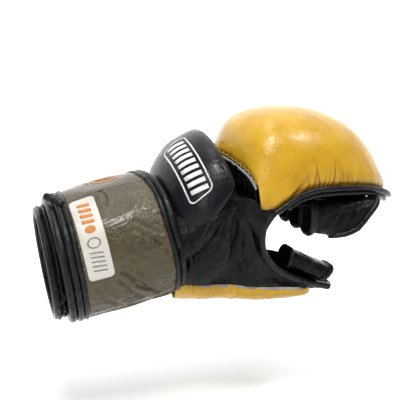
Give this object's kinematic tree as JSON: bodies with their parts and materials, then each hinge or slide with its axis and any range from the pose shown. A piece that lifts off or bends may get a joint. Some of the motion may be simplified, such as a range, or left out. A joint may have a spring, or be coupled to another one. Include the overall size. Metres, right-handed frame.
{
  "type": "mma sparring glove",
  "caption": "Open-palm sparring glove: domed knuckle pad, padded wrist guard, wrap-round wrist strap, thumb pad, open thumb sleeve and four short finger sleeves.",
  "frame": {"origin": "centre of the wrist opening", "axes": "+X to the fingers, +Z back of the hand, -Y thumb side of a left-hand glove"},
  "size_m": [0.2392, 0.1104, 0.1366],
  "materials": {
    "black_leather": "glossy",
    "olive_leather": "glossy",
    "yellow_leather": "glossy",
    "black_piping": "glossy",
    "lining_fabric": "matt",
    "hook_and_loop": "matt",
    "white_label": "semi-gloss",
    "foam": "matt",
    "gel": "gloss"
  },
  "bodies": {
    "cuff": {"cuff_lining": "lining_fabric", "inner_cuff": "black_leather", "cuff_end_binding": "black_piping", "strap_base": "olive_leather", "strap_base_piping": "black_piping", "strap_wrap": "olive_leather", "strap_wrap_piping": "black_piping", "loop_patch": "hook_and_loop"},
    "flap": {"strap_flap": "olive_leather", "strap_flap_piping": "black_piping", "hook_patch": "hook_and_loop", "label_patch": "white_label"},
    "hand": {"hand_lining": "lining_fabric", "back_panel": "black_leather", "palm_panel": "black_leather", "little_side_panel": "black_leather", "thumb_side_panel": "black_leather", "web_piping": "black_piping", "palm_piping": "black_piping", "wrist_guard_cover": "black_leather", "wrist_guard_foam": "foam", "pad_base_panel": "black_leather", "knuckle_pad_cover": "yellow_leather", "knuckle_gel_layer": "gel", "knuckle_pad_foam": "foam", "knuckle_pad_piping": "black_piping"},
    "thumb": {"thumb_pad_cover": "yellow_leather", "thumb_pad_foam": "foam", "thumb_cradle": "black_leather", "thumb_sleeve": "black_leather", "thumb_sleeve_piping": "black_piping", "thumb_cradle_piping": "black_piping"},
    "index": {"index_sleeve": "black_leather", "index_sleeve_piping": "black_piping"},
    "middle": {"middle_sleeve": "black_leather", "middle_sleeve_piping": "black_piping"},
    "ring": {"ring_sleeve": "black_leather", "ring_sleeve_piping": "black_piping"},
    "little": {"little_sleeve": "black_leather", "little_sleeve_piping": "black_piping"}
  },
  "joints": [
    {"name": "flap_peel", "type": "hinge", "parent": "cuff", "child": "flap", "pos_m": [0.03586, -0.01679, 0.04915], "axis": [-0.9744, 0, -0.225], "range_deg": [0, 100]},
    {"name": "wrist_flex", "type": "hinge", "parent": "cuff", "child": "hand", "pos_m": [0.09, 0, -0.021], "axis": [0, 1, 0], "range_deg": [0, 12], "stiffness_Nm_per_rad": 3, "springref_deg": -8.59},
    {"name": "thumb_open", "type": "hinge", "parent": "hand", "child": "thumb", "pos_m": [0.09, -0.024, -0.014], "axis": [0, 1, 0], "range_deg": [0, 15], "stiffness_Nm_per_rad": 0.15, "springref_deg": -11.46},
    {"name": "index_curl", "type": "hinge", "parent": "hand", "child": "index", "pos_m": [0.1663, -0.033, 0.0395], "axis": [0, 1, 0], "range_deg": [0, 15], "stiffness_Nm_per_rad": 0.04, "springref_deg": -11.46},
    {"name": "middle_curl", "type": "hinge", "parent": "hand", "child": "middle", "pos_m": [0.1663, -0.0115, 0.0395], "axis": [0, 1, 0], "range_deg": [0, 15], "stiffness_Nm_per_rad": 0.04, "springref_deg": -11.46},
    {"name": "ring_curl", "type": "hinge", "parent": "hand", "child": "ring", "pos_m": [0.1663, 0.01, 0.0395], "axis": [0, 1, 0], "range_deg": [0, 15], "stiffness_Nm_per_rad": 0.04, "springref_deg": -11.46},
    {"name": "little_curl", "type": "hinge", "parent": "hand", "child": "little", "pos_m": [0.1663, 0.0315, 0.0395], "axis": [0, 1, 0], "range_deg": [0, 15], "stiffness_Nm_per_rad": 0.04, "springref_deg": -11.46}
  ]
}
